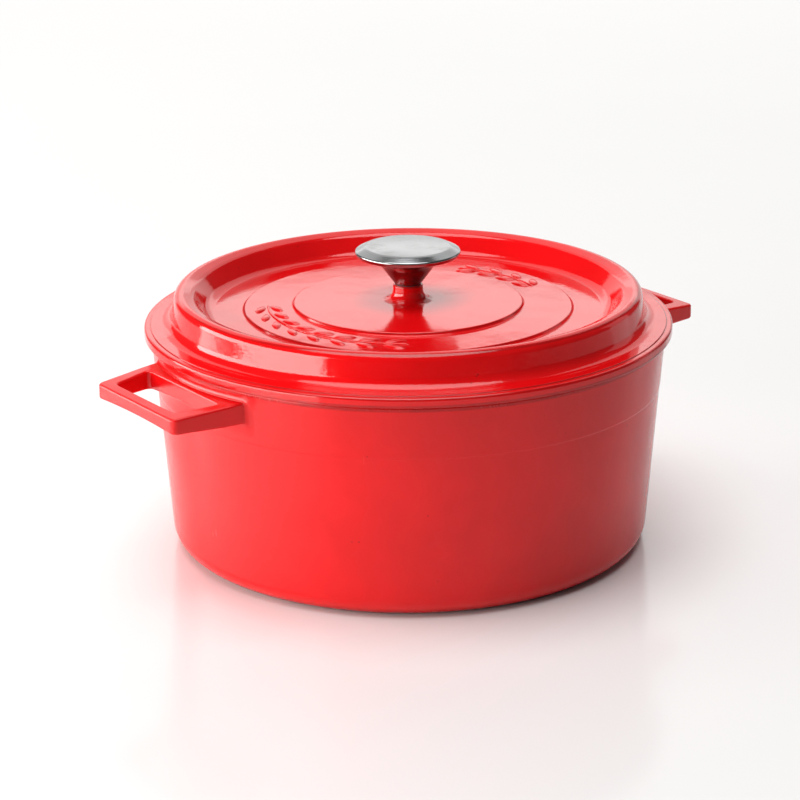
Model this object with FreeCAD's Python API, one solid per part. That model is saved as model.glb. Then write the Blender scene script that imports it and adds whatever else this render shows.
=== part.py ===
import FreeCAD, Part
import math
import os

# Enamelled cast iron dutch oven: a round pot with two loop handles, and a lid with a steel knob.
# Millimetres, +Z up. The origin is the middle of the foot, on the surface that the pot stands on.
# The handles lie along X. Each piece that comes apart on a bench is written to parts/NAME.step.

from FreeCAD import Vector

# ---- driving dimensions ----

# pot
pot_height = 120.6            # foot to the top of the rim
wall_top_radius = 143.4       # outside of the wall at the rim
wall_foot_radius = 133.7      # where the outside of the wall would meet the ground
wall_thickness = 3.8
floor_thickness = 5.0
foot_corner = 12.0            # rounding from the wall to the foot
cavity_corner = 14.0          # rounding from the inside wall to the inside floor
foot_ring_radius = 112.0      # the base is hollowed inside this radius
foot_hollow = 0.8
belt_height = 92.4            # faint step round the outside of the wall
belt_step = 0.3
rim_edge = 1.0                # rounding of the rim's two edges

# loop handles, cast in one with the pot
handle_reach = 177.3          # middle of the pot to the outer edge of the bar
handle_half_width = 39.3      # at the outer corners
handle_root_half_width = 44.5 # where the legs meet the pot
bar_width = 7.0
web_edge = 146.8              # inner edge of the finger gap
gap_outer_half_width = 30.3
gap_inner_half_width = 35.8
handle_top_outer = 112.0      # height of the handle's top face at the bar
handle_top_slope = 2.3 / 30.0 # it rises towards the pot
handle_underside = 103.4      # at the outer corners
bar_arch = 1.2                # how far the underside is arched at its middle
handle_edge = 1.2             # rounding of the handle's edges
handle_root_fillet = 3.5

# lid
seat_clearance = 0.05         # lid to rim
lid_radius = 147.2
lid_edge_height = 6.2         # lid's flange, from the rim to its top
overhang_gap = 0.9            # the flange stands this much off the rim outside the seat
seat_ring_radius = 142.0      # outer edge of the ring that rests on the rim
lid_shell = 3.4
spigot_depth = 5.2            # ring that keeps the lid in place
spigot_clearance = 0.9
ridge_inner_radius = 119.7    # raised ridge, which slopes down inwards
ridge_inner_height = 143.1
ridge_outer_radius = 129.5
ridge_outer_height = 146.4    # of the corner before it is rounded
ridge_inner_rounding = 4.5
ridge_outer_rounding = 4.8
skirt_foot_radius = 132.5     # where the outside of the ridge meets the flange
skirt_fillet = 6.5
dish_radius = 111.8           # sunk floor inside the ridge
dish_fillet = 7.0
dish_floor = 132.2
outer_ring_radius = 91.7      # first step up from the floor
inner_ring_radius = 64.1      # second step up
ring_step = 1.8
boss_radius = 8.4             # pedestal under the knob
boss_top = 146.0
basting_nub_radius = 2.5
basting_nub_drop = 1.9
basting_rings = ((36.0, 8), (62.0, 14), (88.0, 20))  # radius, how many

# leaf sprigs raised between the two rings of the lid
sprig_radius = 78.0
sprig_rise = 1.1
stalk_width = 1.5
leaf_length = 13.4
leaf_width = 5.2
leaf_offset = 4.5             # leaf's middle to the stalk's middle
leaf_angle = 24.0             # degrees between a leaf and the stalk
leaf_pitch = 11.0             # degrees between pairs of leaves
sprigs = ((190.7, 8), (10.7, 4))  # middle of the sprig in degrees, pairs of leaves

# knob and its fixing
gasket_thickness = 0.5
stem_foot_radius = 7.4
knob_radius = 29.7
knob_top = 168.1
sheet_thickness = 1.4         # pressed steel of the knob
screw_radius = 2.95           # M6 shank
screw_bore_radius = 3.2
insert_radius = 5.0
screw_head_radius = 6.0
screw_head_height = 3.4
washer_radius = 9.0
washer_thickness = 1.2
spring_washer_thickness = 1.6

# ---- worked out from them ----

wall_lean = (wall_top_radius - wall_foot_radius) / pot_height
rim_inner_radius = wall_top_radius - wall_thickness
seat = pot_height + seat_clearance
lid_edge_top = seat + lid_edge_height
gap_outer = handle_reach - bar_width
disc_height = dish_floor + 2 * ring_step + 1.2  # lid's top beside the boss
pad_underside = disc_height - lid_shell - 1.9
knob_foot = boss_top + gasket_thickness
spring_washer_top = pad_underside - washer_thickness
screw_head_top = spring_washer_top - spring_washer_thickness


def rounded_wire(points):
    """A closed wire in the XZ plane through (x, z, corner radius) points, each corner rounded by an arc."""
    count = len(points)
    corners = [Vector(x, 0, z) for x, z, _ in points]
    starts = []
    arcs = []
    for i, corner in enumerate(corners):
        radius = points[i][2]
        before = (corners[i - 1] - corner).normalize()
        after = (corners[(i + 1) % count] - corner).normalize()
        half_angle = before.getAngle(after) / 2
        if radius == 0:
            starts.append((corner, corner))
            arcs.append(None)
            continue
        reach = radius / math.tan(half_angle)
        bisector = (before + after).normalize()
        middle = corner + bisector * (radius / math.sin(half_angle) - radius)
        first = corner + before * reach
        last = corner + after * reach
        starts.append((first, last))
        arcs.append(Part.Arc(first, middle, last).toShape())
    edges = []
    for i in range(count):
        if arcs[i] is not None:
            edges.append(arcs[i])
        leave = starts[i][1]
        arrive = starts[(i + 1) % count][0]
        if (arrive - leave).Length > 1e-6:
            edges.append(Part.LineSegment(leave, arrive).toShape())
    return Part.Wire(edges)


def turned(points):
    """A solid turned about Z from a closed outline of (radius, height, corner radius)."""
    face = Part.Face(rounded_wire(points))
    face.rotate(Vector(0, 0, 0), Vector(0, 0, 1), 90)  # the seam lies along +Y, clear of the handles
    return face.revolve(Vector(0, 0, 0), Vector(0, 0, 1), 360)


def prism(points, low, high):
    """A solid standing on the XY plane from height low to high, with a rounded outline of (x, y, corner radius)."""
    wire = rounded_wire(points)
    wire.rotate(Vector(0, 0, 0), Vector(1, 0, 0), -90)  # XZ outline with Z taken as -Y
    wire.translate(Vector(0, 0, low))
    return Part.Face(wire).extrude(Vector(0, 0, high - low))


def tube(outer, inner, low, high):
    """A plain ring about Z."""
    ring = Part.makeCylinder(outer, high - low, Vector(0, 0, low))
    return ring.cut(Part.makeCylinder(inner, high - low, Vector(0, 0, low)))


def outside_radius(height):
    """Radius of the pot's outside wall at a height, below the belt."""
    return wall_foot_radius + wall_lean * height


# ---- pot ----

def pot_outside():
    """The pot as a solid lump, with its foot, belt and rim."""
    belt = outside_radius(belt_height)
    return turned([
        (0, foot_hollow, 0),
        (foot_ring_radius, foot_hollow, 1.0),
        (foot_ring_radius + 1.6, 0, 0.6),
        (wall_foot_radius, 0, foot_corner),
        (belt - belt_step, belt_height - 0.9, 1.5),
        (belt, belt_height, 1.5),
        (wall_top_radius, pot_height, rim_edge),
        (0, pot_height, 0),
    ])


def pot_cavity():
    """The inside of the pot, with the rounding at the rim's inner edge."""
    above = 10.0
    return turned([
        (0, floor_thickness, 0),
        (outside_radius(floor_thickness) - wall_thickness, floor_thickness, cavity_corner),
        (rim_inner_radius - rim_edge * wall_lean, pot_height - rim_edge, 1.0),
        (rim_inner_radius + rim_edge, pot_height, 0),
        (rim_inner_radius + rim_edge, pot_height + above, 0),
        (0, pot_height + above, 0),
    ])


def loop_handle():
    """One loop handle on the +X side, with its root sunk in the wall."""
    sunk = 126.0
    low, high = 80.0, 125.0
    leg_slope = (handle_root_half_width - handle_half_width) / (handle_reach - 139.5)
    sunk_half_width = handle_half_width + leg_slope * (handle_reach - sunk)
    outline = [(handle_reach, handle_half_width, 3.0), (sunk, sunk_half_width, 0)]
    outline += [(x, -y, r) for x, y, r in reversed(outline)]
    gap = [(gap_outer, gap_outer_half_width, 2.5), (web_edge, gap_inner_half_width, 2.5)]
    gap += [(x, -y, r) for x, y, r in reversed(gap)]
    plate = prism(outline, low, high).cut(prism(gap, low, high))

    # side view: the top face rises to the pot
    beyond = handle_reach + 5.0
    top_at = lambda x: handle_top_outer + (handle_reach - x) * handle_top_slope
    side = rounded_wire([(beyond, top_at(beyond), 0), (sunk, top_at(sunk), 0), (sunk, low, 0), (beyond, low, 0)])
    width = 2 * sunk_half_width + 10
    slab = Part.Face(side).extrude(Vector(0, width, 0))
    slab.translate(Vector(0, -width / 2, 0))
    handle = plate.common(slab)

    # end view: the underside is one arch from leg to leg
    arch_radius = (handle_half_width ** 2 + bar_arch ** 2) / (2 * bar_arch)
    start = Vector(sunk - 5.0, 0, handle_underside + bar_arch - arch_radius)
    arch = Part.makeCylinder(arch_radius, 80, start, Vector(1, 0, 0))
    arch.rotate(start, Vector(1, 0, 0), 90)  # its seam goes out of the way
    handle = handle.cut(arch)

    edges = [e for e in handle.Edges if is_outline_edge(e)]
    return handle.makeFillet(handle_edge, edges)


def is_outline_edge(edge):
    """True for the handle's upper and lower edges, and not for the upright ones or those inside the wall."""
    box = edge.BoundBox
    upright = box.ZLength > 5.0 and max(box.XLength, box.YLength) < 1.0
    seam = box.YLength < 0.01 and abs(box.YMin) < 1.0
    return box.XMax > 140.0 and not upright and not seam


def make_pot():
    outside = pot_outside()
    handle = loop_handle()
    other = handle.copy()
    other.rotate(Vector(0, 0, 0), Vector(0, 0, 1), 180)
    body = outside.fuse([handle, other]).removeSplitter()
    joints = [e for e in body.Edges if is_root_edge(e)]
    body = body.makeFillet(handle_root_fillet, joints)
    return body.cut(pot_cavity())


def is_root_edge(edge):
    """True where a handle meets the pot's wall: the edge lies on the wall, between the belt and the rim."""
    if edge.BoundBox.ZMin < belt_height + 1.5 or edge.BoundBox.ZMax > pot_height - rim_edge - 0.5:
        return False
    return all(abs(math.hypot(p.x, p.y) - outside_radius(p.z)) < 0.05 for p in edge.discretize(7))


# ---- lid ----

def lid_underside(radius):
    """Height of the lid's underside between the screw's pad and the ridge."""
    middle = disc_height - lid_shell
    edge = dish_floor - lid_shell
    return middle + (edge - middle) * (radius - 14.0) / (dish_radius - 14.0)


def lid_shape():
    """The lid's casting before its nubs and sprigs."""
    spigot_outer = rim_inner_radius - spigot_clearance
    spigot_low = seat - spigot_depth
    ring_low = dish_floor + ring_step + 0.4
    return turned([
        # top, from the boss outwards
        (screw_bore_radius, boss_top, 0),
        (boss_radius, boss_top, 0.9),
        (boss_radius, disc_height, 6.0),
        (inner_ring_radius - 0.5, ring_low + ring_step + 0.4, 0.9),
        (inner_ring_radius + 0.5, ring_low + 0.4, 0.9),
        (outer_ring_radius - 0.5, dish_floor + ring_step + 0.2, 0.9),
        (outer_ring_radius + 0.5, dish_floor + 0.4, 0.9),
        (dish_radius, dish_floor, dish_fillet),
        (ridge_inner_radius, ridge_inner_height, ridge_inner_rounding),
        (ridge_outer_radius, ridge_outer_height, ridge_outer_rounding),
        (skirt_foot_radius, lid_edge_top + 0.7, skirt_fillet),
        (lid_radius - 3.6, lid_edge_top + 0.5, 0.4),
        (lid_radius - 3.3, lid_edge_top, 0.3),
        (lid_radius, lid_edge_top - 0.1, 1.5),
        # edge, overhang and seat
        (lid_radius, seat + overhang_gap, 0.8),
        (seat_ring_radius + 0.6, seat + overhang_gap, 0.4),
        (seat_ring_radius, seat, 0.3),
        (spigot_outer + 0.3, seat, 0.4),
        (spigot_outer, spigot_low, 1.0),
        (spigot_outer - 3.4, spigot_low, 1.2),
        # underside, from the spigot inwards
        (skirt_foot_radius - 3.4, seat + 1.6, 3.0),
        (ridge_outer_radius - 3.6, ridge_outer_height - 5.2, 2.0),
        (ridge_inner_radius + 1.9, ridge_inner_height - 3.7, 1.4),
        (dish_radius + 2.2, dish_floor - lid_shell, 4.0),
        (14.0, lid_underside(14.0), 1.0),
        (12.0, pad_underside, 0.8),
        (screw_bore_radius, pad_underside, 0),
    ])


def basting_nubs():
    """Drops cast on the underside, which condensed steam runs to."""
    nubs = []
    for ring, (radius, count) in enumerate(basting_rings):
        centre_height = lid_underside(radius) + basting_nub_radius - basting_nub_drop
        for i in range(count):
            angle = math.radians(360.0 * (i + 0.5 * (ring % 2)) / count)
            place = Vector(radius * math.cos(angle), radius * math.sin(angle), centre_height)
            nubs.append(Part.makeSphere(basting_nub_radius, place))
    return nubs


def leaf(radius, angle, turn):
    """One leaf, a pair of arcs meeting in two points, lying radius from the middle and turned from the tangent."""
    low = dish_floor
    length = leaf_length / 2
    width = leaf_width / 2
    tip, root = Vector(length, 0, low), Vector(-length, 0, low)
    sides = [Part.Arc(root, Vector(0, width, low), tip), Part.Arc(tip, Vector(0, -width, low), root)]
    face = Part.Face(Part.Wire([side.toShape() for side in sides]))
    solid = face.extrude(Vector(0, 0, sprig_top() - low))
    solid.rotate(Vector(0, 0, 0), Vector(0, 0, 1), 90 + turn)
    solid.translate(Vector(radius, 0, 0))
    solid.rotate(Vector(0, 0, 0), Vector(0, 0, 1), angle)
    return solid


def sprig_top():
    return dish_floor + ring_step + 0.5 + sprig_rise


def sprig_solids(middle, pairs):
    """A stalk along the circle with pairs of leaves on it."""
    first = middle - leaf_pitch * (pairs - 1) / 2
    solids = []
    for i in range(pairs):
        angle = first + leaf_pitch * i
        solids.append(leaf(sprig_radius + leaf_offset, angle, -leaf_angle))
        solids.append(leaf(sprig_radius - leaf_offset, angle, leaf_angle))
    stalk = tube(sprig_radius + stalk_width / 2, sprig_radius - stalk_width / 2, dish_floor, sprig_top() - 0.2)
    span = leaf_pitch * pairs
    wedge = Part.makeCylinder(sprig_radius + 20, 20, Vector(0, 0, dish_floor - 5), Vector(0, 0, 1), span)
    wedge.rotate(Vector(0, 0, 0), Vector(0, 0, 1), first - leaf_pitch / 2)
    solids.append(stalk.common(wedge))
    return solids


def make_lid():
    raised = []
    for middle, pairs in sprigs:
        raised += sprig_solids(middle, pairs)
    return lid_shape().fuse(basting_nubs() + raised).removeSplitter()


# ---- knob and fixing ----

def make_knob_cap():
    """Pressed disc with its edge rolled in under the stem's flange."""
    edge = 165.0
    lip = 162.6
    return turned([
        (0, knob_top, 0),
        (knob_radius - 5.6, knob_top - 0.4, 5.0),
        (knob_radius, edge, 1.1),
        (knob_radius - 1.4, lip, 0.5),
        (knob_radius - 3.6, lip, 0.4),
        (knob_radius - 3.4, lip + 0.9, 0),
        (knob_radius - 2.4, lip + 0.9, 0),
        (knob_radius - 2.2, edge - 0.4, 0.6),
        (knob_radius - 6.2, knob_top - 0.4 - sheet_thickness, 4.0),
        (0, knob_top - sheet_thickness, 0),
    ])


def make_knob_stem():
    """Trumpet-shaped shell from the lid's boss up to the cap, with a flange that the cap's edge holds."""
    flange = knob_radius - 2.5
    under = 162.2
    bend_radius, bend_height = 16.2, 158.3
    return turned([
        (insert_radius, knob_foot, 0),
        (stem_foot_radius, knob_foot, 0.3),
        (bend_radius, bend_height, 13.0),
        (knob_radius - 4.0, under, 0.3),
        (knob_radius - 3.7, 163.5, 0),
        (flange, 163.5, 0),
        (flange, 164.6, 0),
        (24.0, 164.0, 2.0),
        (bend_radius - 1.6, bend_height + 1.4, 14.0),
        (stem_foot_radius - 0.9, knob_foot + sheet_thickness, 0.4),
        (insert_radius, knob_foot + sheet_thickness, 0),
    ])


def make_knob_insert():
    """Bush welded in the foot of the stem, which takes the screw."""
    return turned([
        (screw_radius + 0.05, knob_foot, 0),
        (insert_radius, knob_foot, 0),
        (insert_radius, knob_foot + 12.0, 0.6),
        (screw_radius + 0.05, knob_foot + 12.0, 0),
    ])


def make_screw():
    """Pan-head screw, up through the lid from below, with a cross recess in its head."""
    low = screw_head_top - screw_head_height
    screw = turned([
        (0, low, 0),
        (screw_head_radius, low, 2.4),
        (screw_head_radius, screw_head_top, 0.2),
        (screw_radius, screw_head_top, 0),
        (screw_radius, knob_foot + 9.5, 0.6),
        (0, knob_foot + 9.5, 0),
    ])
    slot_length, slot_width, slot_depth = 6.4, 1.3, 2.0
    for length, width in ((slot_length, slot_width), (slot_width, slot_length)):
        corner = Vector(-length / 2, -width / 2, low)
        screw = screw.cut(Part.makeBox(length, width, slot_depth, corner))
    return screw


def make_spring_washer():
    ring = tube(screw_head_radius - 0.3, screw_bore_radius, screw_head_top, spring_washer_top)
    slit = Part.makeBox(10, 1.0, 6, Vector(0, -0.5, screw_head_top - 2))
    slit.rotate(Vector(0, 0, screw_head_top), Vector(1, 0, 0), 25)
    return ring.cut(slit)


pieces = {
    "pot": make_pot(),
    "lid": make_lid(),
    "knob_gasket": tube(stem_foot_radius - 0.2, screw_bore_radius, boss_top, knob_foot),
    "knob_stem": make_knob_stem(),
    "knob_insert": make_knob_insert(),
    "knob_cap": make_knob_cap(),
    "flat_washer": tube(washer_radius, screw_bore_radius, spring_washer_top, pad_underside),
    "spring_washer": make_spring_washer(),
    "knob_screw": make_screw(),
}

os.makedirs("parts", exist_ok=True)
for name, shape in pieces.items():
    solids = shape.Solids
    print(name, "solids", len(solids), "valid", shape.isValid(), "volume", round(shape.Volume))
    shape = solids[0] if len(solids) == 1 else Part.makeCompound(solids)
    shape.exportStep(os.path.join("parts", name + ".step"))
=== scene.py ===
import math

import bmesh
import bpy
from mathutils import Matrix, Quaternion, Vector


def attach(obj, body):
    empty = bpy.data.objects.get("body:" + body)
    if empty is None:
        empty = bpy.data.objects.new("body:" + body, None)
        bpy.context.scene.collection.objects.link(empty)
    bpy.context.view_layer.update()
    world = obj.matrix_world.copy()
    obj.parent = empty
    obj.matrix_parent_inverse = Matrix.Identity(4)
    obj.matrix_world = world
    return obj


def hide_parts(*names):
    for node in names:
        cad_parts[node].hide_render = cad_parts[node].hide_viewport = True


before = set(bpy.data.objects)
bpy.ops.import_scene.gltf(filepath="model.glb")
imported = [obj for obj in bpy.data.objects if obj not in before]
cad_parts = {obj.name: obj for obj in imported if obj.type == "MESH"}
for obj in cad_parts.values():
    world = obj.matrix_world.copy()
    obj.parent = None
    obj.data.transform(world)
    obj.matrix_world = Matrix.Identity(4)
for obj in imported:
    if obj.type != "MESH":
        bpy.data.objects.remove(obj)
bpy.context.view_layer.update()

print("frame loaded:", len(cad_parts), "nodes")

# every length below is in millimetres, and becomes metres as it goes into a mesh
mm = 0.001


# shader maths: arithmetic on a Wire adds Math nodes
class Wire:
    def __init__(self, tree, socket=None):
        self.tree = tree
        self.socket = socket

    def node(self, kind, settings=None, values=None, output=0):
        made = self.tree.nodes.new(kind)
        for key, value in (settings or {}).items():
            if key == "stops":
                ramp = made.color_ramp.elements
                while len(ramp) < len(value):
                    ramp.new(1)
                for stop, (place, colour) in zip(ramp, value):
                    stop.position = place
                    stop.color = colour
            else:
                setattr(made, key, value)
        for key, value in (values or {}).items():
            if isinstance(value, Wire):
                self.tree.links.new(value.socket, made.inputs[key])
            else:
                made.inputs[key].default_value = value
        return Wire(self.tree, made.outputs[output])

    def math(self, operation, *values):
        return self.node("ShaderNodeMath", {"operation": operation}, dict(enumerate(values)))

    def __add__(self, other):
        return self.math("ADD", self, other)

    def __sub__(self, other):
        return self.math("SUBTRACT", self, other)

    def __rsub__(self, other):
        return self.math("SUBTRACT", other, self)

    def __mul__(self, other):
        return self.math("MULTIPLY", self, other)

    def __truediv__(self, other):
        return self.math("DIVIDE", self, other)

    __radd__ = __add__
    __rmul__ = __mul__

    def root(self):
        return self.math("SQRT", self)

    def step(self, low, high):
        # 0 below low and 1 above high, with a soft way between; low may be the larger one
        return self.node("ShaderNodeMapRange", {"interpolation_type": "SMOOTHSTEP"},
                         {"Value": self, "From Min": low, "From Max": high})

    def noise(self, scale, detail=2.0, roughness=0.5):
        return self.node("ShaderNodeTexNoise", {}, {"Vector": self, "Scale": scale, "Detail": detail,
                                                    "Roughness": roughness})

    def blend(self, first, second):
        # the colour first where this is 0, second where it is 1
        return self.node("ShaderNodeMix", {"data_type": "RGBA"}, {0: self, 6: first, 7: second}, 2)


def newMaterial(name, **constants):
    material = bpy.data.materials.new(name)
    material.use_nodes = True
    tree = material.node_tree
    shader = tree.nodes["Principled BSDF"]
    for key, value in constants.items():
        shader.inputs[key.replace("_", " ")].default_value = value
    wire = Wire(tree)
    place = wire.node("ShaderNodeTexCoord", output="Object")
    return material, tree, shader, place


def plug(tree, shader, **links):
    for key, wire in links.items():
        tree.links.new(wire.socket, shader.inputs[key.replace("_", " ")])


def bump(height, distance, strength=1.0, below=None):
    values = {"Height": height, "Distance": distance, "Strength": strength}
    if below:
        values["Normal"] = below
    return height.node("ShaderNodeBump", {}, values)


def radiusAndHeight(place):
    x, y, z = [place.node("ShaderNodeSeparateXYZ", {}, {0: place}, axis) for axis in range(3)]
    return (x * x + y * y).root(), z


def ringMask(radius, height, rings):
    # 1 on each ring given as (radius, height, reach), and fading over its reach
    mask = None
    for ringRadius, ringHeight, reach in rings:
        across = radius - ringRadius * mm
        along = height - ringHeight * mm
        distance = (across * across + along * along).root()
        near = distance.step(reach * mm, reach * 0.25 * mm)
        mask = near if mask is None else mask.math("MAXIMUM", mask, near)
    return mask


def turn(mesh, corners, material=0, steps=200, degreesPerSegment=10):
    # spins a chain of (radius, height, rounding) corners about Z and welds it shut
    known = set(mesh.faces)
    spots = [Vector((r, 0, z)) * mm for r, z, _ in corners]
    verts = [mesh.verts.new(spot) for spot in spots]
    for pair in zip(verts, verts[1:]):
        mesh.edges.new(pair)
    for i in range(1, len(corners) - 1):
        rounding = corners[i][2] * mm
        if rounding:
            between = (spots[i - 1] - spots[i]).angle(spots[i + 1] - spots[i])
            segments = max(2, round(math.degrees(math.pi - between) / degreesPerSegment))
            bmesh.ops.bevel(mesh, geom=[verts[i]], offset=rounding / math.tan(between / 2),
                            offset_type="OFFSET", segments=segments, profile=0.5, affect="VERTICES",
                            material=-1, clamp_overlap=False)
    chain = [edge for edge in mesh.edges if not edge.link_faces]
    ends = list({vert for edge in chain for vert in edge.verts})
    bmesh.ops.spin(mesh, geom=ends + chain, cent=(0, 0, 0), axis=(0, 0, 1), dvec=(0, 0, 0),
                   angle=math.tau, steps=steps, use_merge=True)
    for face in set(mesh.faces) - known:
        face.material_index = material


def finishPiece(mesh, name, materials, body, nodes):
    bmesh.ops.remove_doubles(mesh, verts=mesh.verts, dist=0.004 * mm)
    bmesh.ops.recalc_face_normals(mesh, faces=mesh.faces)
    for face in mesh.faces:
        face.smooth = True
    data = bpy.data.meshes.new(name)
    mesh.to_mesh(data)
    mesh.free()
    for material in materials:
        data.materials.append(material)
    piece = bpy.data.objects.new(name, data)
    bpy.context.collection.objects.link(piece)
    even = piece.modifiers.new("evenNormals", "WEIGHTED_NORMAL")
    even.weight = 60
    even.keep_sharp = True
    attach(piece, body)
    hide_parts(*nodes)
    print(name, "made with", len(data.polygons), "faces")
    return piece


redGlaze = {
    "deep": (0.70, 0.0025, 0.004, 1),
    "bright": (0.80, 0.004, 0.006, 1),
    "thin": (0.24, 0.003, 0.003, 1),
    "waveHeight": 0.30,      # slow unevenness of the glaze, in mm
    "peelHeight": 0.045,     # fine orange peel, in mm
    "grainHeight": 0.010,    # and the finest unevenness
}


def redEnamel(name, thinRings, seed, dull, gloss):
    material, tree, shader, place = newMaterial(name, IOR=gloss)
    shifted = place.node("ShaderNodeMapping", {}, {"Vector": place, "Location": (seed, seed * 0.7, -seed)})
    radius, height = radiusAndHeight(place)

    # colour: slow pooling, thin glaze on the edges, a few dark specks under the surface
    pooling = shifted.noise(16, 3, 0.55).step(0.3, 0.7)
    fine = shifted.noise(260, 2)
    thin = ringMask(radius, height, thinRings) * (shifted.noise(90, 2) * 0.8 + 0.35)
    specks = shifted.node("ShaderNodeTexVoronoi", {"feature": "F1"}, {"Vector": shifted, "Scale": 130})
    speck = specks.step(0.085, 0.03) * shifted.noise(45, 1).step(0.56, 0.62)
    colour = pooling.blend(redGlaze["deep"], redGlaze["bright"])
    colour = (thin * 0.75).blend(colour, redGlaze["thin"])
    colour = (speck * 0.55).blend(colour, (0.10, 0.003, 0.003, 1))

    # faint wiping marks and a little dulling where hands and pans rub
    stretched = shifted.node("ShaderNodeMapping", {}, {"Vector": shifted, "Rotation": (0.4, 0.3, 0.6),
                                                       "Scale": (1, 9, 1)})
    wiping = stretched.noise(60, 4, 0.65).step(0.52, 0.8)
    dulling = shifted.noise(11, 4, 0.6).step(0.42, 0.78)
    roughness = dull + dulling * 0.05 + wiping * 0.045 + thin * 0.06 + fine * 0.02

    # surface: slow waves, orange peel, fine grain, pinholes
    wave = bump(shifted.noise(38, 1.5), redGlaze["waveHeight"] * mm)
    peel = bump(shifted.noise(330, 2), redGlaze["peelHeight"] * mm, below=wave)
    grain = bump(shifted.noise(760, 1.5), redGlaze["grainHeight"] * mm, below=peel)
    pit = bump(1 - speck, 0.05 * mm, below=grain)
    plug(tree, shader, Base_Color=colour, Roughness=roughness, Normal=pit)
    return material


sandGlaze = {
    "light": (0.66, 0.56, 0.44, 1),
    "dark": (0.55, 0.45, 0.34, 1),
    "roughness": 0.22,
}


def sandEnamel(name, seed):
    material, tree, shader, place = newMaterial(name, IOR=1.5)
    shifted = place.node("ShaderNodeMapping", {}, {"Vector": place, "Location": (seed, -seed, seed * 0.4)})
    mottled = shifted.noise(30, 4, 0.6).step(0.3, 0.7)
    grains = shifted.node("ShaderNodeTexVoronoi", {"feature": "F1"}, {"Vector": shifted, "Scale": 320})
    grain = grains.step(0.16, 0.05) * shifted.noise(70, 2).step(0.45, 0.6)
    utensil = shifted.node("ShaderNodeMapping", {}, {"Vector": shifted, "Rotation": (0, 0, 0.7),
                                                     "Scale": (1, 14, 1)})
    marks = utensil.noise(75, 5, 0.7).step(0.6, 0.72)
    colour = mottled.blend(sandGlaze["dark"], sandGlaze["light"])
    colour = (grain * 0.45).blend(colour, (0.23, 0.17, 0.12, 1))
    colour = (marks * 0.16).blend(colour, (0.30, 0.27, 0.24, 1))
    roughness = sandGlaze["roughness"] + mottled * 0.06 + marks * 0.10
    wave = bump(shifted.noise(34, 2), 0.22 * mm)
    peel = bump(shifted.noise(300, 2), 0.02 * mm, below=wave)
    plug(tree, shader, Base_Color=colour, Roughness=roughness, Normal=peel)
    return material


def groundCoat(name):
    # the thin dark matte coat of the rim, the foot ring and the base, rubbed to grey iron in places
    material, tree, shader, place = newMaterial(name, IOR=1.5)
    rubbed = place.noise(45, 5, 0.65).step(0.42, 0.66)
    grit = place.noise(600, 3, 0.6)
    colour = rubbed.blend((0.030, 0.028, 0.027, 1), (0.105, 0.098, 0.092, 1))
    roughness = 0.62 - rubbed * 0.17 + grit * 0.08
    rough = bump(grit, 0.09 * mm)
    plug(tree, shader, Base_Color=colour, Roughness=roughness, Normal=rough)
    return material


def polishedSteel(name):
    material, tree, shader, place = newMaterial(name, Metallic=1.0, IOR=2.5)
    radius, height = radiusAndHeight(place)
    smudge = place.noise(70, 4, 0.6).step(0.45, 0.75)
    hair = place.node("ShaderNodeMapping", {}, {"Vector": place, "Rotation": (0, 0, 0.5),
                                                "Scale": (1, 22, 1)})
    scratch = hair.noise(260, 3, 0.7).step(0.62, 0.74)
    colour = smudge.blend((0.36, 0.37, 0.38, 1), (0.32, 0.325, 0.33, 1))
    roughness = 0.17 + smudge * 0.06 + scratch * 0.08
    lay = bump((radius * 5200).math("SINE", radius * 5200), 0.0012 * mm)
    worn = bump(place.noise(90, 2), 0.05 * mm, below=lay)
    plug(tree, shader, Base_Color=colour, Roughness=roughness, Normal=worn)
    return material


def satinSteel(name):
    material, tree, shader, place = newMaterial(name, Metallic=1.0, IOR=2.5)
    tarnish = place.noise(160, 4, 0.6).step(0.35, 0.7)
    colour = tarnish.blend((0.56, 0.55, 0.54, 1), (0.42, 0.40, 0.38, 1))
    roughness = 0.27 + tarnish * 0.12
    grainy = bump(place.noise(900, 2), 0.01 * mm)
    plug(tree, shader, Base_Color=colour, Roughness=roughness, Normal=grainy)
    return material


def blackRubber(name):
    material, tree, shader, place = newMaterial(name, IOR=1.5)
    dust = place.noise(240, 4, 0.6).step(0.4, 0.7)
    colour = dust.blend((0.018, 0.018, 0.019, 1), (0.045, 0.043, 0.041, 1))
    roughness = 0.6 + dust * 0.15
    skin = bump(place.noise(1200, 2), 0.02 * mm)
    plug(tree, shader, Base_Color=colour, Roughness=roughness, Normal=skin)
    return material


pot = {
    "height": 120.6,
    "footRadius": 133.7,
    "lean": 0.08043,         # how much the wall leans outwards, per mm of height
    "wall": 3.8,
    "floor": 5.0,
    "footCorner": 12.0,
    "footRing": 112.0,       # the base is hollowed inside this radius
    "footHollow": 0.8,
    "footBare": 10.5,        # width of the bare ring that it stands on
    "beltHeight": 92.4,
    "beltStep": 0.3,
    "rimEdge": 1.0,
    "cavityCorner": 14.0,
}


def wallRadius(height):
    return pot["footRadius"] + pot["lean"] * height


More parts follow.
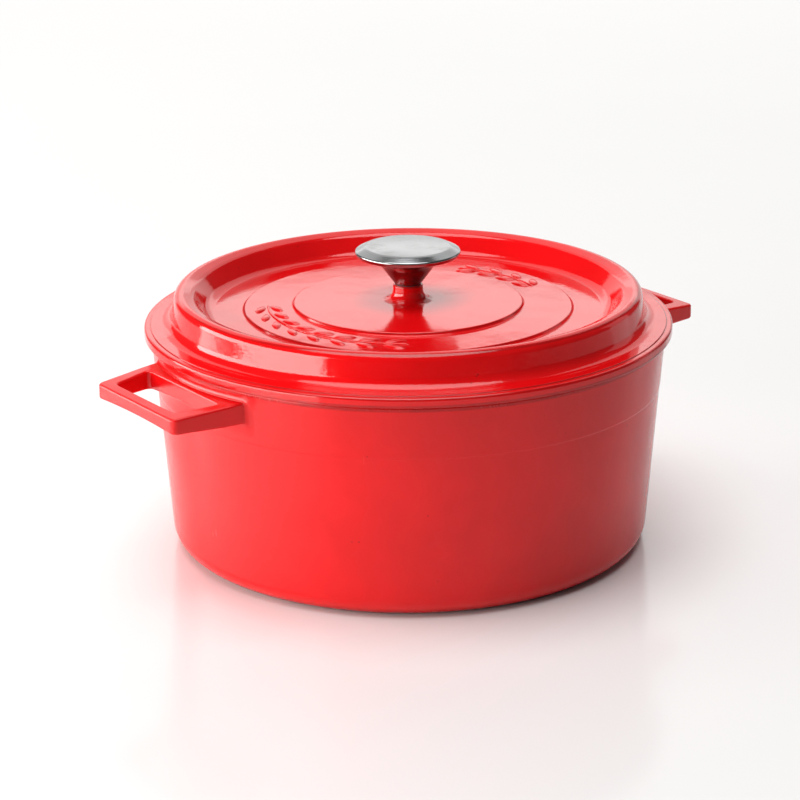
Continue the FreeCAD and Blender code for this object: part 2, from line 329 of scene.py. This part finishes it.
def potBody(mesh):
    belt = wallRadius(pot["beltHeight"])
    top = wallRadius(pot["height"])
    inside = top - pot["wall"]
    rim = pot["rimEdge"]
    foot = pot["footRing"]
    turn(mesh, [
        (0, pot["footHollow"], 0),
        (foot, pot["footHollow"], 1.0),
        (foot + 1.6, 0, 0.6),
        (foot + pot["footBare"], 0, 0)], 2)
    turn(mesh, [
        (foot + pot["footBare"], 0, 0),
        (pot["footRadius"], 0, pot["footCorner"]),
        (belt - pot["beltStep"], pot["beltHeight"] - 0.9, 1.5),
        (belt, pot["beltHeight"], 1.5),
        (top, pot["height"], rim),
        (top - rim - 0.4, pot["height"], 0)])
    turn(mesh, [
        (top - rim - 0.4, pot["height"], 0),
        (inside + rim, pot["height"], 0)], 2)
    turn(mesh, [
        (inside + rim, pot["height"], 0),
        (inside - rim * pot["lean"], pot["height"] - rim, 1.0),
        (wallRadius(pot["floor"]) - pot["wall"], pot["floor"], pot["cavityCorner"]),
        (60, pot["floor"], 0),
        (0, pot["floor"], 0)], 1)


handle = {
    "reach": 177.3,
    "barWidth": 7.0,
    "web": 146.8,
    "outerHalf": 39.3,       # half width of the loop at its outer edge
    "rootHalf": 44.5,        # and where it meets the wall
    "gapOuterHalf": 30.3,
    "gapInnerHalf": 35.8,
    "topOuter": 112.0,
    "topSlope": 0.0767,
    "under": 103.4,
    "arch": 1.2,
    "outerCorner": 3.2,
    "gapCorner": 2.6,
    "edge": 1.4,
    "plateEnd": 142.0,       # the open end towards the wall, before it is fitted to it
    "plateRise": 6.0,        # the plate is made thicker than the bar, then shaped
    "plateDepth": 16.0,
    "standOff": 1.7,         # where the root starts to flare, from the wall
    "sink": 0.06,            # the flare's last ring goes this far into the wall
    "flareTop": 3.6,
    "flareSide": 5.0,
    "flareUnder": 9.0,
    "flareSteps": 7,
}


def outerHalfAt(along):
    slope = (handle["rootHalf"] - handle["outerHalf"]) / (handle["reach"] - 139.5)
    return handle["outerHalf"] + slope * (handle["reach"] - along)


def gapHalfAt(along):
    gapEnd = handle["reach"] - handle["barWidth"]
    slope = (handle["gapInnerHalf"] - handle["gapOuterHalf"]) / (gapEnd - handle["web"])
    return handle["gapOuterHalf"] + slope * (gapEnd - along)


def wallPoint(across, height, off=0.0):
    # a point on the pot's wall, or off it, at a distance across from the handle's middle line
    radius = wallRadius(height)
    along = math.sqrt(max(radius * radius - across * across, 0.0))
    return Vector((along + off * along / radius, across + off * across / radius, height))


def roundEdges(mesh, edges, rounding, segments):
    bmesh.ops.bevel(mesh, geom=edges, offset=rounding * mm, offset_type="OFFSET", segments=segments,
                    profile=0.5, affect="EDGES", material=-1, clamp_overlap=False)


def loopHandle(mesh):
    spans = 12                                # of the bar and the web, so that the arch is smooth
    known = set(mesh.verts)
    grid = bmesh.ops.create_grid(mesh, x_segments=3, y_segments=spans + 2, size=1)
    plate = list(grid["verts"])
    rows = sorted({round(vert.co.x, 4) for vert in plate})
    columns = sorted({round(vert.co.y, 4) for vert in plate})
    alongs = [None, handle["web"], handle["reach"] - handle["barWidth"], handle["reach"]]
    for vert in plate:
        row = rows.index(round(vert.co.x, 4))
        column = columns.index(round(vert.co.y, 4))
        along = alongs[row] or handle["plateEnd"]
        if column in (0, spans + 2):
            across = outerHalfAt(along) * (-1 if column == 0 else 1)
        else:
            across = gapHalfAt(max(along, handle["web"])) * (2 * (column - 1) / spans - 1)
        vert.co = Vector((along, across, handle["topOuter"] + handle["plateRise"])) * mm
    gap = [face for face in mesh.faces if set(face.verts) <= set(plate)
           and handle["web"] < face.calc_center_median().x / mm < handle["reach"] - handle["barWidth"]
           and abs(face.calc_center_median().y) < handle["gapOuterHalf"] * mm]
    bmesh.ops.delete(mesh, geom=gap, context="FACES")
    top = [face for face in mesh.faces if set(face.verts) <= set(plate)]
    lower = bmesh.ops.extrude_face_region(mesh, geom=top)
    lowered = [item for item in lower["geom"] if isinstance(item, bmesh.types.BMVert)]
    bmesh.ops.translate(mesh, verts=lowered, vec=(0, 0, -handle["plateDepth"] * mm))

    # open the side towards the wall
    back = [face for face in mesh.faces if face.verts[0] not in known
            and all(vert.co.x < (handle["plateEnd"] + 0.5) * mm for vert in face.verts)]
    bmesh.ops.delete(mesh, geom=back, context="FACES")

    # round the upright corners, then the outline's edges
    own = [edge for edge in mesh.edges if edge.verts[0] not in known]
    upright = [edge for edge in own if abs(edge.verts[0].co.z - edge.verts[1].co.z) > 10 * mm
               and len(edge.link_faces) == 2 and edge.calc_face_angle() > 0.5]
    outer = [edge for edge in upright if edge.verts[0].co.x > 175 * mm]
    inner = [edge for edge in upright if edge not in outer]
    for edges, corner in ((outer, handle["outerCorner"]), (inner, handle["gapCorner"])):
        roundEdges(mesh, edges, corner, 6)
    shapePlate(mesh, known)
    own = [edge for edge in mesh.edges if edge.verts[0] not in known and len(edge.link_faces) == 2]
    outline = [edge for edge in own if edge.calc_face_angle() > 0.9]
    roundEdges(mesh, outline, handle["edge"], 5)
    flareRoot(mesh, known)


def shapePlate(mesh, known):
    # the top face slopes, the underside is arched, and the back stands a little off the round wall
    middle = handle["topOuter"] - 2
    for vert in mesh.verts:
        if vert in known:
            continue
        along, across, height = vert.co / mm
        if along < handle["plateEnd"] + 0.5:
            along = wallPoint(across, 108, handle["standOff"]).x
        if height > middle:
            height = handle["topOuter"] + (handle["reach"] - along) * handle["topSlope"]
        else:
            height = handle["under"] + handle["arch"] * (1 - (across / handle["outerHalf"]) ** 2)
        vert.co = Vector((along, across, height)) * mm


def flareRoot(mesh, known):
    # carries the open back of the loop into the wall with a hollow curve, deepest underneath
    own = [face for face in mesh.faces if face.verts[0] not in known]
    bmesh.ops.recalc_face_normals(mesh, faces=own)
    if max(own, key=lambda face: face.calc_center_median().z).normal.z < 0:
        bmesh.ops.reverse_faces(mesh, faces=own)
    mesh.normal_update()
    rim = [edge for edge in mesh.edges if edge.verts[0] not in known and len(edge.link_faces) == 1]
    start = {}
    for vert in {vert for edge in rim for vert in edge.verts}:
        way = Vector((0, vert.normal.y, vert.normal.z)).normalized()
        reach = handle["flareSide"] * way.y ** 2
        reach += (handle["flareTop"] if way.z > 0 else handle["flareUnder"]) * way.z ** 2
        start[vert] = (vert.co / mm, way, reach)
    for i in range(1, handle["flareSteps"] + 1):
        angle = math.pi / 2 * i / handle["flareSteps"]
        grown = bmesh.ops.extrude_edge_only(mesh, edges=rim)["geom"]
        fresh = [item for item in grown if isinstance(item, bmesh.types.BMVert)]
        nextStart = {}
        for vert in fresh:
            before = min(start, key=lambda other: (other.co - vert.co).length_squared)
            nextStart[vert] = start[before]
        for vert, (first, way, reach) in nextStart.items():
            out = way * reach * (1 - math.cos(angle))
            off = handle["standOff"] * (1 - math.sin(angle))
            if i == handle["flareSteps"]:
                off -= handle["sink"]
            vert.co = wallPoint(first.y + out.y, first.z + out.z, off) * mm
        start = nextStart
        rim = [item for item in grown if isinstance(item, bmesh.types.BMEdge)
               and len(item.link_faces) == 1 and set(item.verts) <= set(fresh)]


potMesh = bmesh.new()
loopHandle(potMesh)
bmesh.ops.recalc_face_normals(potMesh, faces=potMesh.faces)
other = bmesh.ops.duplicate(potMesh, geom=potMesh.verts[:] + potMesh.edges[:] + potMesh.faces[:])["geom"]
bmesh.ops.rotate(potMesh, verts=[item for item in other if isinstance(item, bmesh.types.BMVert)],
                 cent=(0, 0, 0), matrix=Matrix.Rotation(math.pi, 3, "Z"))
potBody(potMesh)
potThin = [(143.3, 119.3, 1.6), (126.0, 0.4, 9.0)]
potRed = redEnamel("potRedEnamel", potThin, 0.31, 0.20, 1.43)
sand = sandEnamel("sandEnamel", 0.2)
footCoat = groundCoat("footGroundCoat")
finishPiece(potMesh, "potBody", [potRed, sand, footCoat], "pot", ["pot"])


lid = {
    "seat": 120.65,
    "overhang": 121.55,
    "radius": 147.2,
    "edgeTop": 126.85,
    "seatRing": 142.0,       # outer edge of the ring that rests on the rim
    "spigotOuter": 138.7,
    "spigotLow": 115.45,
    "ridgeInner": 119.7,     # the ridge slopes down from its outer corner to its inner one
    "ridgeInnerTop": 143.1,
    "ridgeOuter": 129.5,
    "ridgeOuterTop": 146.4,
    "skirtFoot": 132.5,
    "dish": 111.8,
    "floor": 132.2,
    "outerRing": 91.7,
    "innerRing": 64.1,
    "step": 1.8,
    "middle": 137.0,
    "bossRadius": 8.4,
    "bossTop": 146.0,
    "bore": 3.2,
    "shell": 3.4,
    "padUnder": 131.7,
    "padRadius": 12.0,
    "padFoot": 14.0,         # where the pad runs out into the underside
}


def lidUnder(radius):
    middle = lid["middle"] - lid["shell"]
    edge = lid["floor"] - lid["shell"]
    return middle + (edge - middle) * (radius - lid["padFoot"]) / (lid["dish"] - lid["padFoot"])


def lidTop(radius):
    # height of the ledge between the two rings, where the sprigs lie
    share = (radius - lid["innerRing"]) / (lid["outerRing"] - lid["innerRing"])
    return lid["floor"] + lid["step"] + 0.8 - 0.6 * share


def lidBody(mesh):
    ringLow = lid["floor"] + lid["step"] + 0.4
    top = [
        (lid["bore"], lid["bossTop"], 0),
        (lid["bossRadius"], lid["bossTop"], 0.9),
        (lid["bossRadius"], lid["middle"], 6.0),
        (40, lid["middle"] - 0.2, 0),
        (lid["innerRing"] - 0.5, ringLow + lid["step"] + 0.4, 0.9),
        (lid["innerRing"] + 0.5, ringLow + 0.4, 0.9),
        (lid["outerRing"] - 0.5, lid["floor"] + lid["step"] + 0.2, 0.9),
        (lid["outerRing"] + 0.5, lid["floor"] + 0.4, 0.9),
        (lid["dish"], lid["floor"], 7.0),
        (lid["ridgeInner"], lid["ridgeInnerTop"], 4.5),
        (lid["ridgeOuter"], lid["ridgeOuterTop"], 4.8),
        (lid["skirtFoot"], lid["edgeTop"] + 0.7, 6.5),
        (lid["radius"] - 3.6, lid["edgeTop"] + 0.5, 0.4),
        (lid["radius"] - 3.3, lid["edgeTop"], 0.3),
        (lid["radius"], lid["edgeTop"] - 0.1, 1.5),
        (lid["radius"], lid["overhang"], 0.6),
        (lid["radius"] - 1.6, lid["overhang"], 0),
    ]
    under = [
        (lid["radius"] - 1.6, lid["overhang"], 0),
        (lid["seatRing"] + 0.6, lid["overhang"], 0.4),
        (lid["seatRing"], lid["seat"], 0.3),
        (lid["spigotOuter"] + 0.3, lid["seat"], 0.4),
        (lid["spigotOuter"], lid["spigotLow"], 1.0),
        (lid["spigotOuter"] - lid["shell"], lid["spigotLow"], 1.2),
        (lid["skirtFoot"] - 3.4, lid["seat"] + 1.6, 3.0),
        (lid["ridgeOuter"] - 3.6, lid["ridgeOuterTop"] - 5.2, 2.0),
        (lid["ridgeInner"] + 1.9, lid["ridgeInnerTop"] - 3.7, 1.4),
        (lid["dish"] + 2.2, lid["floor"] - lid["shell"], 4.0),
        (lid["padFoot"], lidUnder(lid["padFoot"]), 1.0),
        (lid["padRadius"], lid["padUnder"], 0.8),
        (lid["bore"], lid["padUnder"], 0),
        (lid["bore"], lid["bossTop"], 0),
    ]
    turn(mesh, top, 0)
    turn(mesh, under, 1)


nubs = {"radius": 2.5, "drop": 1.9, "rings": ((36.0, 8), (62.0, 14), (88.0, 20))}


def bastingNubs(mesh):
    for ring, (radius, count) in enumerate(nubs["rings"]):
        height = lidUnder(radius) + nubs["radius"] - nubs["drop"]
        for i in range(count):
            ball = bmesh.ops.create_uvsphere(mesh, u_segments=14, v_segments=8,
                                             radius=nubs["radius"] * mm)["verts"]
            angle = math.tau * (i + 0.5 * (ring % 2)) / count
            spot = Vector((radius * math.cos(angle), radius * math.sin(angle), height)) * mm
            bmesh.ops.translate(mesh, verts=ball, vec=spot)
            own = set(ball)
            upper = [face for face in mesh.faces
                     if face.verts[0] in own and face.calc_center_median().z > spot.z]
            for vert in ball:
                for face in vert.link_faces:
                    face.material_index = 1
            bmesh.ops.delete(mesh, geom=upper, context="FACES")


sprig = {
    "radius": 78.0,
    "rise": 1.1,
    "leafLength": 13.4,
    "leafWidth": 5.2,
    "leafOffset": 4.5,
    "leafAngle": 24.0,
    "pitch": 11.0,
    "stalk": 1.5,
    "sink": 0.08,            # its edges start this far inside the lid
    "places": ((190.7, 8), (10.7, 4)),   # middle of each sprig in degrees, pairs of leaves
}


def rotateAboutMiddle(mesh, verts, degrees):
    turning = Matrix.Rotation(math.radians(degrees), 3, "Z")
    bmesh.ops.rotate(mesh, verts=verts, cent=(0, 0, 0), matrix=turning)


def raisedLeaf(mesh, radius, degrees, turned):
    # a pointed oval, built up in a few rings so that its edge runs softly into the lid
    leaf = bmesh.ops.create_circle(mesh, cap_ends=True, segments=20, radius=1)["verts"]
    for vert in leaf:
        vert.co.y *= math.sqrt(max(1 - vert.co.x ** 2, 0)) ** 0.35
    bmesh.ops.scale(mesh, verts=leaf, vec=(sprig["leafLength"] / 2 * mm, sprig["leafWidth"] / 2 * mm, 1))
    cap = [face for face in leaf[0].link_faces if len(face.verts) == len(leaf)][0]
    made = list(leaf)
    for shrink, lift in ((0.94, 0.10), (0.88, 0.40), (0.86, 0.30), (0.60, 0.14)):
        ring = bmesh.ops.extrude_discrete_faces(mesh, faces=[cap])["faces"]
        cap = ring[0]
        middle = cap.calc_center_median()
        bmesh.ops.scale(mesh, verts=cap.verts, vec=(shrink, shrink, 1), space=Matrix.Translation(-middle))
        bmesh.ops.translate(mesh, verts=cap.verts, vec=(0, 0, lift * sprig["rise"] * mm))
        made += list(cap.verts)
    made += bmesh.ops.poke(mesh, faces=[cap])["verts"]
    rotateAboutMiddle(mesh, made, 90 + turned)
    bmesh.ops.translate(mesh, verts=made, vec=(radius * mm, 0, (lidTop(radius) - sprig["sink"]) * mm))
    rotateAboutMiddle(mesh, made, degrees)


def leafSprigs(mesh):
    for middle, pairs in sprig["places"]:
        first = middle - sprig["pitch"] * (pairs - 1) / 2
        for i in range(pairs):
            degrees = first + sprig["pitch"] * i
            raisedLeaf(mesh, sprig["radius"] + sprig["leafOffset"], degrees, -sprig["leafAngle"])
            raisedLeaf(mesh, sprig["radius"] - sprig["leafOffset"], degrees, sprig["leafAngle"])
        stalkStrip(mesh, first - sprig["pitch"] / 2, sprig["pitch"] * pairs)


def stalkStrip(mesh, start, span):
    base = (lidTop(sprig["radius"]) - sprig["sink"]) * mm
    half = sprig["stalk"] / 2 * mm
    middle = sprig["radius"] * mm
    crown = 0.8 * sprig["rise"] * mm
    verts = [mesh.verts.new((middle + half * share, 0, base + crown * (1 - share ** 2) ** 0.5))
             for share in (-1, -0.9, -0.55, 0, 0.55, 0.9, 1)]
    edges = [mesh.edges.new(pair) for pair in zip(verts, verts[1:])]
    rotateAboutMiddle(mesh, verts, start)
    steps = max(6, round(span / 1.6))
    turned = bmesh.ops.spin(mesh, geom=verts + edges, cent=(0, 0, 0), axis=(0, 0, 1), dvec=(0, 0, 0),
                            angle=math.radians(span), steps=steps, use_merge=False)["geom_last"]
    last = [item for item in turned if isinstance(item, bmesh.types.BMVert)]
    for end in (verts, last):
        for vert in end:
            vert.co.z = base


lidMesh = bmesh.new()
leafSprigs(lidMesh)
bmesh.ops.recalc_face_normals(lidMesh, faces=lidMesh.faces)
bastingNubs(lidMesh)
lidBody(lidMesh)
lidThin = [(147.2, 126.6, 1.4), (143.8, 127.0, 0.8), (147.2, 122.0, 1.6), (128.6, 144.2, 1.4),
           (64.1, 136.2, 0.9), (91.7, 134.0, 0.9), (8.4, 145.8, 1.0)]
lidRed = redEnamel("lidRedEnamel", lidThin, 0.83, 0.07, 1.5)
finishPiece(lidMesh, "lidCasting", [lidRed, sand], "lid", ["lid"])


knob = {"radius": 29.7, "top": 168.1, "edge": 165.0, "lip": 162.6, "foot": 146.5, "footRadius": 7.4,
        "bend": 16.2, "bendHeight": 158.3, "sheet": 1.4}


def knobCap(mesh):
    r = knob["radius"]
    turn(mesh, [
        (0, knob["top"], 0),
        (r * 0.45, knob["top"] - 0.05, 0),
        (r - 5.6, knob["top"] - 0.4, 5.0),
        (r, knob["edge"], 1.1),
        (r - 1.4, knob["lip"], 0.5),
        (r - 3.6, knob["lip"], 0.4),
        (r - 3.4, knob["lip"] + 0.9, 0),
        (r - 2.4, knob["lip"] + 0.9, 0),
        (r - 2.2, knob["edge"] - 0.4, 0.6),
        (r - 6.2, knob["top"] - 0.4 - knob["sheet"], 4.0),
        (0, knob["top"] - knob["sheet"], 0)], steps=160, degreesPerSegment=6)


def knobStem(mesh):
    r = knob["radius"]
    outline = [
        (5.0, knob["foot"], 0),
        (knob["footRadius"], knob["foot"], 0.3),
        (knob["bend"], knob["bendHeight"], 13.0),
        (r - 4.0, 162.2, 0.3),
        (r - 3.7, 163.5, 0),
        (r - 2.5, 163.5, 0),
        (r - 2.5, 164.6, 0),
        (24.0, 164.0, 2.0),
        (knob["bend"] - 1.6, knob["bendHeight"] + 1.4, 14.0),
        (knob["footRadius"] - 0.9, knob["foot"] + knob["sheet"], 0.4),
        (5.0, knob["foot"] + knob["sheet"], 0),
        (5.0, knob["foot"], 0)]
    turn(mesh, outline, steps=128, degreesPerSegment=4)


steel = polishedSteel("knobPolishedSteel")
capMesh = bmesh.new()
knobCap(capMesh)
finishPiece(capMesh, "knobCapDisc", [steel], "lid", ["knob_cap"])
stemMesh = bmesh.new()
knobStem(stemMesh)
finishPiece(stemMesh, "knobStemShell", [steel], "lid", ["knob_stem"])

# fixings keep their exact shapes and get their finishes
satin = satinSteel("fixingSatinSteel")
rubber = blackRubber("gasketRubber")
for node, finish in (("knob_screw", satin), ("flat_washer", satin), ("spring_washer", satin),
                     ("knob_insert", satin), ("knob_gasket", rubber)):
    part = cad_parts[node]
    for place in part.material_slots:
        place.material = finish
print("finishes set on the fixings")


studio = {
    "target": (-0.0041, 0.0029, 0.0776),
    "azimuth": -35.3,
    "elevation": 18.35,
    "distance": 1.4996,
    "lens": 119.4,
    "roll": -0.5,            # degrees about the line of sight
    "worldGrey": 0.08,
    "floorGrey": 0.77,
    "floorRoughness": 0.13,
    "floorIOR": 1.40,
    "sun": {"energy": 2.25, "angle": 50, "azimuth": -40, "elevation": 86},
}


def aroundObject(azimuth, elevation, distance):
    # azimuth 0 is the camera's side, and a positive one goes round to the camera's right
    a = math.radians(studio["azimuth"] + azimuth)
    e = math.radians(elevation)
    away = Vector((math.sin(a) * math.cos(e), -math.cos(a) * math.cos(e), math.sin(e)))
    return Vector(studio["target"]) + away * distance


def aim(thing, spot, roll=0.0):
    thing.location = spot
    turned = (Vector(studio["target"]) - spot).to_track_quat("-Z", "Y")
    thing.rotation_euler = (turned @ Quaternion((0, 0, 1), math.radians(roll))).to_euler()


cameraData = bpy.data.cameras.new("studioCamera")
cameraData.lens = studio["lens"]
cameraData.sensor_width = 36
cameraData.clip_end = 50
camera = bpy.data.objects.new("studioCamera", cameraData)
bpy.context.collection.objects.link(camera)
aim(camera, aroundObject(0, studio["elevation"], studio["distance"]), studio["roll"])
bpy.context.scene.camera = camera

panels = {
    # name: azimuth from the camera, elevation, distance, width, height, radiance, tint
    "leftSoftbox": (-76, 12, 1.6, 2.5, 0.75, 8.4, (1, 0.975, 0.94)),
    "backWall": (180, 28, 3.2, 4.2, 3.6, 0.9, (1, 0.985, 0.965)),
    "backStrip": (180, 18.4, 2.8, 2.9, 0.28, 0.85, (1, 0.985, 0.965)),
    "rightCard": (118, 10, 1.8, 0.6, 1.0, 0.5, (1, 1, 1)),
}
for name, (azimuth, elevation, distance, width, height, radiance, tint) in panels.items():
    data = bpy.data.lights.new(name, "AREA")
    data.color = tint
    data.shape = "RECTANGLE"
    data.size = width
    data.size_y = height
    data.energy = radiance * math.pi * width * height
    lamp = bpy.data.objects.new(name, data)
    bpy.context.collection.objects.link(lamp)
    aim(lamp, aroundObject(azimuth, elevation, distance))

overhead = bpy.data.lights.new("overheadSoft", "SUN")
overhead.energy = studio["sun"]["energy"]
overhead.angle = math.radians(studio["sun"]["angle"])
overheadLamp = bpy.data.objects.new("overheadSoft", overhead)
bpy.context.collection.objects.link(overheadLamp)
aim(overheadLamp, aroundObject(studio["sun"]["azimuth"], studio["sun"]["elevation"], 2))

world = bpy.data.worlds.new("studioWorld")
world.use_nodes = True
world.node_tree.nodes["Background"].inputs[0].default_value = (1, 1, 1, 1)
world.node_tree.nodes["Background"].inputs[1].default_value = studio["worldGrey"]
bpy.context.scene.world = world

floorMesh = bmesh.new()
bmesh.ops.create_grid(floorMesh, x_segments=4, y_segments=4, size=6)
floorData = bpy.data.meshes.new("studioFloor")
floorMesh.to_mesh(floorData)
floorMesh.free()
floorMaterial, floorTree, floorShader, floorPlace = newMaterial("paleFloor", IOR=studio["floorIOR"])
pale = studio["floorGrey"]
shade = floorPlace.noise(3, 2).blend((pale, pale, pale, 1), (pale + 0.02, pale + 0.02, pale + 0.02, 1))
sheen = studio["floorRoughness"] + floorPlace.noise(20, 2) * 0.02
plug(floorTree, floorShader, Base_Color=shade, Roughness=sheen)
floorData.materials.append(floorMaterial)
floor = bpy.data.objects.new("studioFloor", floorData)
bpy.context.collection.objects.link(floor)

bpy.context.scene.view_settings.view_transform = "Standard"
bpy.context.scene.view_settings.exposure = 0.0
bpy.context.scene.view_settings.gamma = 1.0
print("studio set")
